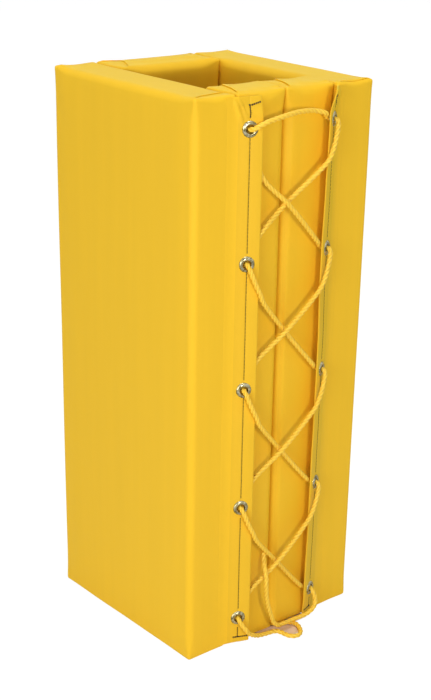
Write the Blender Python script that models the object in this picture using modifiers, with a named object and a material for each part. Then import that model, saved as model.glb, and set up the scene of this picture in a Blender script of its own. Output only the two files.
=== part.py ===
"""Column protector pad: five vinyl covered foam slabs laced round a square column.

Metres, +Z up. The laced front faces -Y. The origin is on the floor, at the middle of the rigid parts' box.
"""

from math import cos, pi, radians, sin, tan

import bmesh
import bpy
from mathutils import Matrix, Vector

# Column passage and slabs
COLUMN_WIDTH = 0.2032
COLUMN_DEPTH = 0.2032
HEIGHT = 0.9144
SIDE_PAD_THICKNESS = 0.0762
BACK_PAD_THICKNESS = 0.0762
FRONT_PAD_THICKNESS = 0.0712
FRONT_PAD_RECESS = 0.0050
FRONT_SEAM_GAP = 0.0010
PAD_EDGE_RADIUS = 0.0085
PAD_CROWN = 0.0020
PAD_STEPS_IN = 2
PAD_STEPS_ALONG = 4
PAD_STEPS_UP = 6
OUTER_BEVEL_STEPS = 3
INNER_BEVEL_STEPS = 2

# Vinyl covers and the closing seam under each slab
COVER_WALL = 0.0010
SEAM_SLIT_WIDTH = 0.0015
SEAM_SLIT_MARGIN = 0.0200

# Folded plies over the top at each end of a slab, as (share of the slab's width, reach from its end)
TUCK_RISE = 0.0008
TUCK_OVERHANG = 0.0040
EVEN_TUCK = ((0.0, -0.0010), (0.28, 0.0170), (0.72, 0.0170), (1.0, -0.0010))
LEFT_FRONT_TUCK = ((0.0, -0.0010), (0.75, 0.0220), (1.0, 0.0030))
RIGHT_FRONT_TUCK = ((0.0, 0.0075), (0.75, 0.0050), (1.0, -0.0010))

# Lacing flaps, sewn into the joints between the side and front slabs. Each lift is the angle off the front, in
# degrees, at the flap's foot, beside each grommet from the lowest up, and at its top.
LEFT_FLAP_LIFTS = (20, 22, 22, 22, 22, 22, 8)
RIGHT_FLAP_LIFTS = (18, 21.5, 25, 28, 27, 33, 47)
FLAP_THICKNESS = 0.0024
FLAP_WIDTH = 0.0410
FLAP_END_MARGIN = 0.0040
FLAP_TONGUE = 0.0160
FLAP_BEND_RADIUS = 0.0030
FLAP_LEVEL_REACH = 0.0150
TOP_TWIST_STEPS = 3
BEND_STEPS = 4
ROUND_END_STEPS = 4

# Hinge webs between neighbouring slabs
WEB_END_MARGIN = 0.0200
WEB_EDGE_MARGIN = 0.0160

# Grommets
GROMMET_COUNT = 5
GROMMET_END_INSET = 0.0508
GROMMET_INSET = 0.0205
BORE_RADIUS = 0.0060
BARREL_WALL = 0.0007
FLANGE_RADIUS = 0.0125
FLANGE_RISE = 0.0022
WASHER_RADIUS = 0.0120
WASHER_THICKNESS = 0.0010
CLINCH_RADIUS = 0.0093
CLINCH_RISE = 0.0012
ROUND_STEPS = 16

# Rope
ROPE_DIAMETER = 0.0080
ROPE_CHORD_ERROR = 0.0008
TURN_CENTRE = 0.0087
TURN_RADIUS = 0.0092
FREE_EDGE_DROP = 0.0550
LEFT_ARRIVAL_RISE = 0.0430
RIGHT_ARRIVAL_RISE = 0.0120
FIRST_BACK_DROP = 0.0780
CROSSING_OVER = 0.0220
CROSSING_UNDER = 0.0128
TOP_BAR_DIRECTION = (1.0, 0.35)
FOOT_DIRECTION = (0.35, -1.0)

# Clearance between pieces that touch
FIT_GAP = 0.0003

# Places worked out from the sizes above
HALF_WIDTH = COLUMN_WIDTH / 2 + SIDE_PAD_THICKNESS
DEPTH = FRONT_PAD_RECESS + FRONT_PAD_THICKNESS + COLUMN_DEPTH + BACK_PAD_THICKNESS
FLAP_HALF = FLAP_THICKNESS / 2
JOINT_GAP = FLAP_THICKNESS + 2 * FIT_GAP
HINGE_X = COLUMN_WIDTH / 2 - JOINT_GAP / 2
FLAP_REACH = (FLAP_WIDTH - FLAP_HALF) * sin(radians(max(LEFT_FLAP_LIFTS + RIGHT_FLAP_LIFTS))) + FLAP_HALF
FRONT_Y = (FLAP_REACH - DEPTH) / 2
BACK_Y = FRONT_Y + DEPTH
GROMMET_PITCH = (HEIGHT - 2 * GROMMET_END_INSET) / (GROMMET_COUNT - 1)
ROPE_RADIUS = ROPE_DIAMETER / 2

LEFT = -1
RIGHT = 1
SIDE_NAMES = {LEFT: "left", RIGHT: "right"}
FLAP_LIFTS = {LEFT: LEFT_FLAP_LIFTS, RIGHT: RIGHT_FLAP_LIFTS}

VINYL = ("yellow_vinyl", (0.80, 0.50, 0.03, 1), 0.35, 0.0)
WEB_VINYL = ("web_vinyl", (0.72, 0.43, 0.03, 1), 0.45, 0.0)
FOAM = ("foam", (0.75, 0.72, 0.62, 1), 0.95, 0.0)
NICKEL = ("nickel_plate", (0.62, 0.60, 0.55, 1), 0.25, 1.0)
ROPE = ("yellow_rope", (0.85, 0.55, 0.04, 1), 0.50, 0.0)


def clear_scene():
    for old in list(bpy.data.objects):
        bpy.data.objects.remove(old, do_unlink=True)


def new_collection(name):
    collection = bpy.data.collections.new(name)
    bpy.context.scene.collection.children.link(collection)
    return collection


def material(spec, name):
    """A Principled material of the piece's own, from a (label, colour, roughness, metallic) row."""
    label, colour, roughness, metallic = spec
    made = bpy.data.materials.new(f"{label}_{name}")
    made.use_nodes = True
    shader = made.node_tree.nodes["Principled BSDF"]
    shader.inputs["Base Color"].default_value = colour
    shader.inputs["Roughness"].default_value = roughness
    shader.inputs["Metallic"].default_value = metallic
    made.diffuse_color = colour
    return made


def add_mesh(bm, name, collection, spec=None):
    mesh = bpy.data.meshes.new(name)
    bm.to_mesh(mesh)
    bm.free()
    made = bpy.data.objects.new(name, mesh)
    collection.objects.link(made)
    if spec:
        mesh.materials.append(material(spec, name))
    return made


def hide_cutter(cutter):
    cutter.hide_render = True
    cutter.display_type = "WIRE"
    return cutter


def combine(target, other, operation):
    boolean = target.modifiers.new(other.name, "BOOLEAN")
    boolean.operation = operation
    boolean.solver = "EXACT"
    boolean.object = other


def cut(target, cutter):
    combine(target, cutter, "DIFFERENCE")


def soft_block(low, high, radius, steps, grid=(1, 1, 1), crowned=()):
    """A round edged block. Each face named in crowned, such as '-x', domes by PAD_CROWN towards its middle."""
    low = Vector(low)
    high = Vector(high)
    middle = (low + high) / 2
    half = (high - low) / 2
    bm = bmesh.new()
    bmesh.ops.create_cube(bm, size=2)
    bmesh.ops.scale(bm, vec=half, verts=bm.verts)
    for axis in range(3):
        for count in range(1, grid[axis]):
            flat = half[axis] - radius
            place = -flat + 2 * flat * count / grid[axis]
            plane = Vector((0, 0, 0))
            plane[axis] = 1
            geometry = bm.verts[:] + bm.edges[:] + bm.faces[:]
            bmesh.ops.bisect_plane(bm, geom=geometry, plane_co=plane * place, plane_no=plane)
    corners = [e for e in bm.edges if len(e.link_faces) == 2 and e.calc_face_angle() > 1]
    bmesh.ops.bevel(bm, geom=corners, offset=radius, segments=steps, profile=0.5, affect="EDGES")
    for vertex in bm.verts:
        start = vertex.co.copy()
        for face in crowned:
            axis = "xyz".index(face[1])
            sign = -1 if face[0] == "-" else 1
            depth = max(0.0, sign * start[axis] / half[axis])
            dome = 1.0
            for other in range(3):
                if other != axis:
                    dome *= max(0.0, 1 - (start[other] / half[other]) ** 2)
            vertex.co[axis] -= sign * PAD_CROWN * depth * (1 - dome)
    bmesh.ops.translate(bm, vec=middle, verts=bm.verts)
    return bm


def end_tuck(name, low, high, crowned, grid, inward, outline, cutters):
    """The raised ply over one end of a slab's top. inward is +1 at the end with the lower coordinate."""
    size = Vector(high) - Vector(low)
    lengthwise = 0 if size.x > size.y else 1
    crosswise = 1 - lengthwise
    end = low[lengthwise] if inward > 0 else high[lengthwise]
    seen_from_above = [*outline, (1.0, -TUCK_OVERHANG), (0.0, -TUCK_OVERHANG)]
    bm = bmesh.new()
    rings = []
    for z in (high[2] - PAD_EDGE_RADIUS - 2 * PAD_CROWN, high[2] + TUCK_OVERHANG):
        ring = []
        for share, reach in seen_from_above:
            place = Vector((0, 0, z))
            place[lengthwise] = end + inward * reach
            place[crosswise] = low[crosswise] + share * size[crosswise]
            ring.append(bm.verts.new(place))
        bm.faces.new(ring)
        rings.append(ring)
    lower, upper = rings
    for i in range(len(lower)):
        bm.faces.new((lower[i - 1], lower[i], upper[i], upper[i - 1]))
    bmesh.ops.recalc_face_normals(bm, faces=bm.faces)
    area = hide_cutter(add_mesh(bm, f"{name}_area", cutters))
    inset = Vector((FIT_GAP, FIT_GAP, 0)) / 3
    raised = Vector(high) - inset + Vector((0, 0, TUCK_RISE))
    ply = soft_block(Vector(low) + inset, raised, PAD_EDGE_RADIUS, OUTER_BEVEL_STEPS, grid, crowned)
    tuck = hide_cutter(add_mesh(ply, name, cutters))
    combine(tuck, area, "INTERSECT")
    return tuck


def padded_slab(name, low, high, crowned, grid, tucks, parts, cutters):
    """A vinyl cover round a foam core. The cover is a shell with its closing seam open along the bottom."""
    cover = add_mesh(
        soft_block(low, high, PAD_EDGE_RADIUS, OUTER_BEVEL_STEPS, grid, crowned), f"{name}_cover", parts, VINYL
    )
    for inward, outline, place in zip((1, -1), tucks, ("first", "second")):
        tuck = end_tuck(f"{name}_{place}_tuck", low, high, crowned, grid, inward, outline, cutters)
        combine(cover, tuck, "UNION")
    wall = Vector((COVER_WALL,) * 3)
    inner_radius = PAD_EDGE_RADIUS - COVER_WALL
    hollow = soft_block(Vector(low) + wall, Vector(high) - wall, inner_radius, INNER_BEVEL_STEPS, grid, crowned)
    cut(cover, hide_cutter(add_mesh(hollow, f"{name}_hollow", cutters)))

    core_inset = [COVER_WALL + FIT_GAP] * 6
    for face in crowned:
        core_inset["xyz".index(face[1]) + (0 if face[0] == "-" else 3)] += PAD_CROWN
    core_low = Vector(low) + Vector(core_inset[:3])
    core_high = Vector(high) - Vector(core_inset[3:])
    core_radius = inner_radius + PAD_CROWN
    add_mesh(soft_block(core_low, core_high, core_radius, INNER_BEVEL_STEPS), f"{name}_foam_core", parts, FOAM)

    size = Vector(high) - Vector(low)
    seam = [size.x - 2 * SEAM_SLIT_MARGIN, size.y - 2 * SEAM_SLIT_MARGIN, 4 * COVER_WALL]
    seam[0 if size.x < size.y else 1] = SEAM_SLIT_WIDTH
    bm = bmesh.new()
    bmesh.ops.create_cube(bm, size=1)
    bmesh.ops.scale(bm, vec=seam, verts=bm.verts)
    place = (Vector(low) + Vector(high)) / 2
    bmesh.ops.translate(bm, vec=(place.x, place.y, low[2]), verts=bm.verts)
    cut(cover, hide_cutter(add_mesh(bm, f"{name}_seam", cutters)))
    return cover


def side_slab(side, parts, cutters):
    outer = side * HALF_WIDTH
    inner = side * COLUMN_WIDTH / 2
    low = (min(outer, inner), FRONT_Y, 0)
    high = (max(outer, inner), BACK_Y, HEIGHT)
    crowned = ("-x" if side < 0 else "+x", "-y", "+y", "+z")
    grid = (PAD_STEPS_IN, PAD_STEPS_ALONG, PAD_STEPS_UP)
    tucks = (LEFT_FRONT_TUCK if side == LEFT else RIGHT_FRONT_TUCK, EVEN_TUCK)
    padded_slab(f"{SIDE_NAMES[side]}_pad", low, high, crowned, grid, tucks, parts, cutters)


def back_slab(parts, cutters):
    half = COLUMN_WIDTH / 2 - JOINT_GAP
    low = (-half, BACK_Y - BACK_PAD_THICKNESS, 0)
    high = (half, BACK_Y, HEIGHT)
    grid = (PAD_STEPS_ALONG, PAD_STEPS_IN, PAD_STEPS_UP)
    padded_slab("back_pad", low, high, ("+y", "+z"), grid, (EVEN_TUCK, EVEN_TUCK), parts, cutters)


def front_slab(side, parts, cutters):
    near = side * FRONT_SEAM_GAP / 2
    far = side * (COLUMN_WIDTH / 2 - JOINT_GAP)
    front = FRONT_Y + FRONT_PAD_RECESS
    low = (min(near, far), front, 0)
    high = (max(near, far), front + FRONT_PAD_THICKNESS, HEIGHT)
    grid = (PAD_STEPS_ALONG, PAD_STEPS_IN, PAD_STEPS_UP)
    tucks = (EVEN_TUCK, EVEN_TUCK)
    padded_slab(f"front_{SIDE_NAMES[side]}_pad", low, high, ("-y", "+z"), grid, tucks, parts, cutters)


def grommet_height(row):
    """Rows count from the top, starting at 0."""
    return HEIGHT - GROMMET_END_INSET - row * GROMMET_PITCH


def lift_stations(side):
    """Heights and lifts from the flap's foot up. It is level beside each grommet and twists in between."""
    foot, *laced, top = FLAP_LIFTS[side]
    stations = [(FLAP_END_MARGIN, foot)]
    for row, lift in zip(reversed(range(GROMMET_COUNT)), laced):
        z = grommet_height(row)
        stations += [(z - FLAP_LEVEL_REACH, lift), (z + FLAP_LEVEL_REACH, lift)]
    return stations + [(HEIGHT - FLAP_END_MARGIN, top)]


def flap_lift(side, z):
    """The angle between the flap and the front at that height, in radians."""
    stations = lift_stations(side)
    for (low, start), (high, end) in zip(stations, stations[1:]):
        if z <= high:
            break
    share = min(1.0, max(0.0, (z - low) / (high - low)))
    return radians(start + (end - start) * share)


def flap_directions(side, z):
    """Along the flap towards its free edge, and out of its laced face, at that height."""
    lift = flap_lift(side, z)
    along = Vector((-side * cos(lift), -sin(lift), 0))
    out = Vector((side * sin(lift), -cos(lift), 0))
    return along, out


def flap_point(side, along, out, z):
    """A point of the flap: distance from its root, distance out of its mid plane, and height."""
    run, face = flap_directions(side, z)
    return Vector((side * HINGE_X, FRONT_Y, 0)) + run * along + face * out + Vector((0, 0, z))


def arc(centre, radius, start, end, steps):
    angles = [start + (end - start) * i / steps for i in range(steps + 1)]
    return [Vector((centre.x + radius * cos(a), centre.y + radius * sin(a))) for a in angles]


def flap_outline(side, z):
    """The flap's section at that height, from above: tongue, bend and lifted leaf with a round folded edge."""
    lift = flap_lift(side, z)
    turn = pi / 2 - lift
    tangent = FLAP_BEND_RADIUS * tan(turn / 2)
    bend_centre = Vector((FLAP_BEND_RADIUS, tangent))
    run = Vector((cos(lift), -sin(lift)))
    normal = Vector((sin(lift), cos(lift)))
    tip = run * (FLAP_WIDTH - FLAP_HALF)
    outline = [Vector((-FLAP_HALF, FLAP_TONGUE))]
    outline += arc(bend_centre, FLAP_BEND_RADIUS + FLAP_HALF, pi, pi + turn, BEND_STEPS)
    outline += arc(tip, FLAP_HALF, 3 * pi / 2 - lift, 5 * pi / 2 - lift, ROUND_END_STEPS)
    outline += arc(bend_centre, FLAP_BEND_RADIUS - FLAP_HALF, pi + turn, pi, BEND_STEPS)
    outline += [Vector((FLAP_HALF, FLAP_TONGUE))]
    return [Vector((side * (HINGE_X - point.x), FRONT_Y + point.y, z)) for point in outline]


def lacing_flap(side, parts, cutters):
    name = f"{SIDE_NAMES[side]}_lacing_flap"
    stations = lift_stations(side)
    bends = [z for (_, below), (z, _), (_, above) in zip(stations, stations[1:], stations[2:]) if below != above]
    heights = [FLAP_END_MARGIN, *bends]
    rest = HEIGHT - FLAP_END_MARGIN - heights[-1]
    heights += [heights[-1] + rest * step / TOP_TWIST_STEPS for step in range(1, TOP_TWIST_STEPS + 1)]
    bm = bmesh.new()
    rings = [[bm.verts.new(place) for place in flap_outline(side, z)] for z in heights]
    for lower, upper in zip(rings, rings[1:]):
        for i in range(len(lower)):
            bm.faces.new((lower[i - 1], lower[i], upper[i], upper[i - 1]))
    bm.faces.new(rings[0])
    bm.faces.new(rings[-1])
    bmesh.ops.recalc_face_normals(bm, faces=bm.faces)
    bmesh.ops.triangulate(bm, faces=bm.faces)
    flap = add_mesh(bm, name, parts, VINYL)
    for row in range(GROMMET_COUNT):
        bm = bmesh.new()
        radius = BORE_RADIUS + BARREL_WALL + FIT_GAP
        length = 4 * FLAP_THICKNESS
        bmesh.ops.create_cone(bm, cap_ends=True, segments=ROUND_STEPS, radius1=radius, radius2=radius, depth=length)
        hole = hide_cutter(add_mesh(bm, f"{name}_hole_{row + 1}", cutters))
        hole.matrix_world = grommet_matrix(side, row)
        cut(flap, hole)
    return flap


def grommet_matrix(side, row):
    """Local +Z runs out of the laced face and local +X along the flap."""
    along, out = flap_directions(side, grommet_height(row))
    up = out.cross(along)
    turn = Matrix((along, up, out)).transposed()
    return Matrix.Translation(flap_point(side, GROMMET_INSET, 0, grommet_height(row))) @ turn.to_4x4()


def turned(name, profile, parts, matrix):
    """A closed profile of (radius, height) points turned about local Z."""
    bm = bmesh.new()
    points = [bm.verts.new((radius, 0, height)) for radius, height in profile]
    for start, end in zip(points, points[1:] + points[:1]):
        bm.edges.new((start, end))
    ring = add_mesh(bm, name, parts, NICKEL)
    ring.matrix_world = matrix
    screw = ring.modifiers.new("turn", "SCREW")
    screw.angle = 2 * pi
    screw.steps = ROUND_STEPS
    screw.render_steps = ROUND_STEPS
    screw.use_merge_vertices = True
    screw.merge_threshold = 0.00001
    return ring


def grommet(side, row, parts):
    """An eyelet whose barrel runs through the flap and rolls over its washer behind."""
    matrix = grommet_matrix(side, row)
    seat = FLAP_HALF + FIT_GAP
    barrel = BORE_RADIUS + BARREL_WALL
    crest = (BORE_RADIUS + FLANGE_RADIUS) / 2
    rise = FLANGE_RISE
    washer_back = -seat - WASHER_THICKNESS
    roll = washer_back - FIT_GAP
    eyelet_profile = [
        (BORE_RADIUS, seat + rise * 0.45),
        (BORE_RADIUS + (crest - BORE_RADIUS) * 0.35, seat + rise * 0.85),
        (crest, seat + rise),
        (crest + (FLANGE_RADIUS - crest) * 0.7, seat + rise * 0.65),
        (FLANGE_RADIUS, seat),
        (barrel, seat),
        (barrel, roll),
        (CLINCH_RADIUS - BARREL_WALL, roll),
        (CLINCH_RADIUS, roll - CLINCH_RISE / 2),
        (CLINCH_RADIUS - CLINCH_RISE, roll - CLINCH_RISE),
        (BORE_RADIUS + BARREL_WALL, roll - CLINCH_RISE),
        (BORE_RADIUS, roll - CLINCH_RISE / 2),
    ]
    washer_bore = barrel + FIT_GAP
    washer_profile = [
        (washer_bore, -seat),
        (WASHER_RADIUS, -seat),
        (WASHER_RADIUS, washer_back),
        (washer_bore, washer_back),
    ]
    name = f"{SIDE_NAMES[side]}_grommet_{row + 1}"
    turned(name, eyelet_profile, parts, matrix)
    turned(f"{name}_washer", washer_profile, parts, matrix)


def web(name, low, high, parts):
    bm = bmesh.new()
    bmesh.ops.create_cube(bm, size=1)
    bmesh.ops.scale(bm, vec=Vector(high) - Vector(low), verts=bm.verts)
    bmesh.ops.translate(bm, vec=(Vector(low) + Vector(high)) / 2, verts=bm.verts)
    add_mesh(bm, name, parts, WEB_VINYL)


def hinge_webs(side, parts):
    """The vinyl that joins a side slab to the back slab, and to the front slab behind the flap's tongue."""
    name = SIDE_NAMES[side]
    left = min(side * HINGE_X - FLAP_HALF, side * HINGE_X + FLAP_HALF)
    right = left + FLAP_THICKNESS
    bottom = WEB_END_MARGIN
    top = HEIGHT - WEB_END_MARGIN
    back_low = (left, BACK_Y - BACK_PAD_THICKNESS + WEB_EDGE_MARGIN, bottom)
    web(f"{name}_back_hinge_web", back_low, (right, BACK_Y - WEB_EDGE_MARGIN, top), parts)
    front_end = FRONT_Y + FRONT_PAD_RECESS + FRONT_PAD_THICKNESS - WEB_EDGE_MARGIN
    front_low = (left, FRONT_Y + FLAP_TONGUE + FIT_GAP, bottom)
    web(f"{name}_front_hinge_web", front_low, (right, front_end, top), parts)


def quarter_turn(side, row, direction, face):
    """The rope's bend beside a grommet, from its bore outward. direction is (along the flap, up)."""
    along, up = direction
    length = (along**2 + up**2) ** 0.5
    z = grommet_height(row)
    points = []
    for angle in (radians(15), radians(42), radians(70)):
        reach = (TURN_CENTRE - TURN_RADIUS * cos(angle)) / length
        out = face * TURN_RADIUS * sin(angle)
        points.append(flap_point(side, GROMMET_INSET + reach * along, out, z + reach * up))
    return points


def through_grommet(side, row, arrive, leave):
    """From behind the flap to its laced face."""
    return quarter_turn(side, row, arrive, -1)[::-1] + quarter_turn(side, row, leave, 1)


def over_flap(side, row):
    """Down across the laced face from the grommet and round the free edge."""
    z = grommet_height(row)
    return [
        flap_point(side, GROMMET_INSET + 0.0125, 0.0088, z - FREE_EDGE_DROP * 0.55),
        flap_point(side, FLAP_WIDTH + 0.0015, 0.0062, z - FREE_EDGE_DROP * 0.90),
        flap_point(side, FLAP_WIDTH + 0.0065, 0.0025, z - FREE_EDGE_DROP * 1.10),
    ]


def behind_flap(side, row, rise):
    """In under the free edge, that much above the grommet, and down to the grommet's back."""
    z = grommet_height(row)
    return [
        flap_point(side, FLAP_WIDTH + 0.0040, -0.0062, z + rise + 0.0030),
        flap_point(side, GROMMET_INSET + 0.0120, -0.0084, z + rise * 0.55 + 0.0010),
    ]


def arrival(side):
    """How the rope comes up behind a grommet: its rise at the free edge, and its direction."""
    rise = LEFT_ARRIVAL_RISE if side == LEFT else RIGHT_ARRIVAL_RISE
    return rise, (FLAP_WIDTH - GROMMET_INSET, rise)


def strand(side, row):
    """The rope between a grommet and the next one down on the other flap, as it leaves and as it arrives."""
    if row == 0 and side == LEFT:
        leaving = behind_flap(LEFT, row, -FIRST_BACK_DROP)[::-1]
    else:
        leaving = over_flap(side, row)
    return leaving, behind_flap(-side, row + 1, arrival(-side)[0])


def crossing(side, row, forward):
    """Where a strand passes the one that starts beside it, that far in front of the side slabs."""
    (one_leaving, one_arriving), (other_leaving, other_arriving) = strand(side, row), strand(-side, row)
    one_start = one_leaving[-1]
    one_run = one_arriving[0] - one_start
    other_start = other_leaving[-1]
    other_run = other_arriving[0] - other_start
    between = other_start - one_start
    share = (between.x * other_run.z - between.z * other_run.x) / (one_run.x * other_run.z - one_run.z * other_run.x)
    place = one_start + one_run * share
    return Vector((place.x, FRONT_Y - forward, place.z))


def bow_point(x, forward, z):
    return Vector((x, FRONT_Y - forward, z))


def lacing_run(side):
    """The rope from one of the top grommets down to the foot, through a grommet in each row below."""
    route = []
    here = side
    for row in range(GROMMET_COUNT - 1):
        leaving, arriving = strand(here, row)
        on_top = (side == LEFT) if row == 0 else (here == RIGHT)
        middle = crossing(here, row, CROSSING_OVER if on_top else CROSSING_UNDER)
        here = -here
        leave = (FLAP_WIDTH - GROMMET_INSET, -FREE_EDGE_DROP)
        last = row == GROMMET_COUNT - 2
        through = through_grommet(here, row + 1, arrival(here)[1], FOOT_DIRECTION if last else leave)
        route += leaving + [middle] + arriving + through
    return route


def rope_route():
    """Every point of the rope, from the end tucked in the knot to the tail's tip."""
    floor = ROPE_RADIUS + FIT_GAP
    second = 3 * ROPE_RADIUS + 3 * FIT_GAP
    looped_end = [
        bow_point(-0.0745, 0.0232, 0.0300),
        bow_point(-0.0665, 0.0222, 0.0205),
        bow_point(-0.0560, 0.0205, 0.0130),
        bow_point(-0.0430, 0.0185, floor + 0.0025),
        bow_point(-0.0290, 0.0190, floor + 0.0003),
        bow_point(-0.0150, 0.0210, floor),
        bow_point(-0.0065, 0.0245, floor),
        bow_point(-0.0030, 0.0340, floor),
        bow_point(-0.0010, 0.0460, floor),
        bow_point(0.0050, 0.0540, floor),
        bow_point(0.0140, 0.0565, floor),
        bow_point(0.0230, 0.0520, floor),
        bow_point(0.0300, 0.0430, floor),
        bow_point(0.0345, 0.0320, floor),
        bow_point(0.0340, 0.0205, floor),
        bow_point(0.0240, 0.0125, floor),
        bow_point(0.0060, 0.0105, floor),
    ]
    tail_end = [
        bow_point(0.0820, 0.0235, 0.0350),
        bow_point(0.0765, 0.0265, 0.0230),
        bow_point(0.0640, 0.0262, 0.0155),
        bow_point(0.0480, 0.0245, second),
        bow_point(0.0300, 0.0232, second),
        bow_point(0.0110, 0.0230, second),
        bow_point(-0.0040, 0.0235, second + 0.0020),
        bow_point(-0.0150, 0.0245, 0.0250),
        bow_point(-0.0230, 0.0255, 0.0430),
        bow_point(-0.0310, 0.0265, 0.0650),
        bow_point(-0.0365, 0.0280, 0.0880),
        bow_point(-0.0385, 0.0290, 0.1060),
        bow_point(-0.0375, 0.0270, 0.1200),
        bow_point(-0.0340, 0.0190, 0.1330),
        bow_point(-0.0295, 0.0110, 0.1440),
        bow_point(-0.0250, 0.0060, 0.1560),
    ]
    top = grommet_height(0)
    top_bar = [
        flap_point(LEFT, GROMMET_INSET + 0.0130, 0.0084, top + 0.0060),
        flap_point(LEFT, FLAP_WIDTH + 0.0030, 0.0062, top + 0.0100),
        bow_point(-0.0300, 0.0225, top + 0.0155),
        bow_point(0.0060, 0.0190, top + 0.0185),
        bow_point(0.0400, 0.0160, top + 0.0165),
        flap_point(RIGHT, FLAP_WIDTH + 0.0020, -0.0062, top + 0.0110),
        flap_point(RIGHT, GROMMET_INSET + 0.0120, -0.0084, top + 0.0060),
    ]
    inset = FLAP_WIDTH - GROMMET_INSET
    across = through_grommet(LEFT, 0, (inset, -FIRST_BACK_DROP), TOP_BAR_DIRECTION) + top_bar
    across += through_grommet(RIGHT, 0, TOP_BAR_DIRECTION, (inset, -FREE_EDGE_DROP))
    to_left_foot = lacing_run(LEFT)
    to_right_foot = lacing_run(RIGHT)
    if GROMMET_COUNT % 2 == 0:
        across.reverse()
        to_left_foot, to_right_foot = to_right_foot, to_left_foot
    return looped_end[::-1] + to_left_foot[::-1] + across + to_right_foot + tail_end


def smooth(points, per_span):
    """A smooth curve through the points, with that many samples for each span."""
    ends = [2 * points[0] - points[1]] + points + [2 * points[-1] - points[-2]]
    samples = []
    for before, start, end, after in zip(ends, ends[1:], ends[2:], ends[3:]):
        knots = [0.0]
        for a, b in ((before, start), (start, end), (end, after)):
            knots.append(knots[-1] + (b - a).length ** 0.5)
        for i in range(per_span):
            t = knots[1] + (knots[2] - knots[1]) * i / per_span
            samples.append(blend_knots((before, start, end, after), knots, t))
    return samples + [points[-1]]


def blend_knots(points, knots, t):
    level = points
    for width in (1, 2):
        pairs = zip(level, level[1:], knots, knots[width:])
        level = [start.lerp(end, (t - low) / (high - low)) for start, end, low, high in pairs]
    return level[0].lerp(level[1], (t - knots[1]) / (knots[2] - knots[1]))


def strays(samples):
    """How far the samples lie from the straight line between the first and the last."""
    start = samples[0]
    run = (samples[-1] - start).normalized()
    return max((place - start - run * (place - start).dot(run)).length for place in samples)


def spaced(samples):
    """Few of the samples, close together at the bends, so that straight stretches stay within ROPE_CHORD_ERROR."""
    kept = [0]
    for i in range(2, len(samples)):
        if strays(samples[kept[-1] : i + 1]) > ROPE_CHORD_ERROR:
            kept.append(i - 1)
    return [samples[i] for i in kept] + [samples[-1]]


def lacing_rope(parts):
    route = spaced(smooth(rope_route(), 8))
    curve = bpy.data.curves.new("lacing_rope", "CURVE")
    curve.dimensions = "3D"
    curve.bevel_depth = ROPE_RADIUS
    curve.bevel_resolution = 2
    curve.use_fill_caps = True
    spline = curve.splines.new("POLY")
    spline.points.add(len(route) - 1)
    for point, place in zip(spline.points, route):
        point.co = (*place, 1)
    curve.materials.append(material(ROPE, "lacing_rope"))
    parts.objects.link(bpy.data.objects.new("lacing_rope", curve))


def main():
    clear_scene()
    parts = new_collection("column_protector_pad")
    cutters = new_collection("cutters")
    back_slab(parts, cutters)
    for side in (LEFT, RIGHT):
        side_slab(side, parts, cutters)
        front_slab(side, parts, cutters)
        hinge_webs(side, parts)
        lacing_flap(side, parts, cutters)
        for row in range(GROMMET_COUNT):
            grommet(side, row, parts)
    lacing_rope(parts)


main()
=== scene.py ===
"""Column protector pad: padded vinyl slabs, lacing flaps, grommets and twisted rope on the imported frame."""

from math import cos, hypot, pi, radians, sin, tan

import bmesh
import bpy
import numpy as np
from mathutils import Matrix, Vector, noise
from mathutils.bvhtree import BVHTree


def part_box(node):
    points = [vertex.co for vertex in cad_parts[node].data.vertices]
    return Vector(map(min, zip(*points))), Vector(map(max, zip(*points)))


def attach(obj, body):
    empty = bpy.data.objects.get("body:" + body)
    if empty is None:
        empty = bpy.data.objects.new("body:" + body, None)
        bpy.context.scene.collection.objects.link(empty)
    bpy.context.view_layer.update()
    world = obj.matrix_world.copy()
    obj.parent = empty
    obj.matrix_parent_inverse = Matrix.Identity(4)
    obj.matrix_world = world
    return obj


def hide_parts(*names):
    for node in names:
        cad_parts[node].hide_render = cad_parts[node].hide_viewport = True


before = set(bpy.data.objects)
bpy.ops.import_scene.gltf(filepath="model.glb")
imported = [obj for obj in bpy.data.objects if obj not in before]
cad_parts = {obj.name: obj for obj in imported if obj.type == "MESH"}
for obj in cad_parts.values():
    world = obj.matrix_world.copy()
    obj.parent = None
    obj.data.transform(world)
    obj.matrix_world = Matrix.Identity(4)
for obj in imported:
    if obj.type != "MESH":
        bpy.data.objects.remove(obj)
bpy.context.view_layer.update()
scene = bpy.context.scene

# Places and sizes, as in the part's source, in metres
HEIGHT = 0.9144
COLUMN_WIDTH = 0.2032
FRONT_PAD_RECESS = 0.0050
FLAP_THICKNESS = 0.0024
FLAP_WIDTH = 0.0410
FLAP_END_MARGIN = 0.0040
LEFT_FLAP_LIFTS = (20, 22, 22, 22, 22, 22, 8)
RIGHT_FLAP_LIFTS = (18, 21.5, 25, 28, 27, 33, 47)
FLAP_LEVEL_REACH = 0.0150
FIT_GAP = 0.0003
DEPTH = 0.3556
FLAP_HALF = FLAP_THICKNESS / 2
JOINT_GAP = FLAP_THICKNESS + 2 * FIT_GAP
HINGE_X = COLUMN_WIDTH / 2 - JOINT_GAP / 2
FLAP_REACH = (FLAP_WIDTH - FLAP_HALF) * sin(radians(max(LEFT_FLAP_LIFTS + RIGHT_FLAP_LIFTS))) + FLAP_HALF
FRONT_Y = (FLAP_REACH - DEPTH) / 2
BACK_Y = FRONT_Y + DEPTH
GROMMET_COUNT = 5
GROMMET_END_INSET = 0.0508
GROMMET_PITCH = (HEIGHT - 2 * GROMMET_END_INSET) / (GROMMET_COUNT - 1)
GROMMET_INSET = 0.0205
ROPE_DIAMETER = 0.0080
ROPE_RADIUS = ROPE_DIAMETER / 2
TURN_CENTRE = 0.0087
TURN_RADIUS = 0.0092
FREE_EDGE_DROP = 0.0550
LEFT_ARRIVAL_RISE = 0.0430
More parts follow.
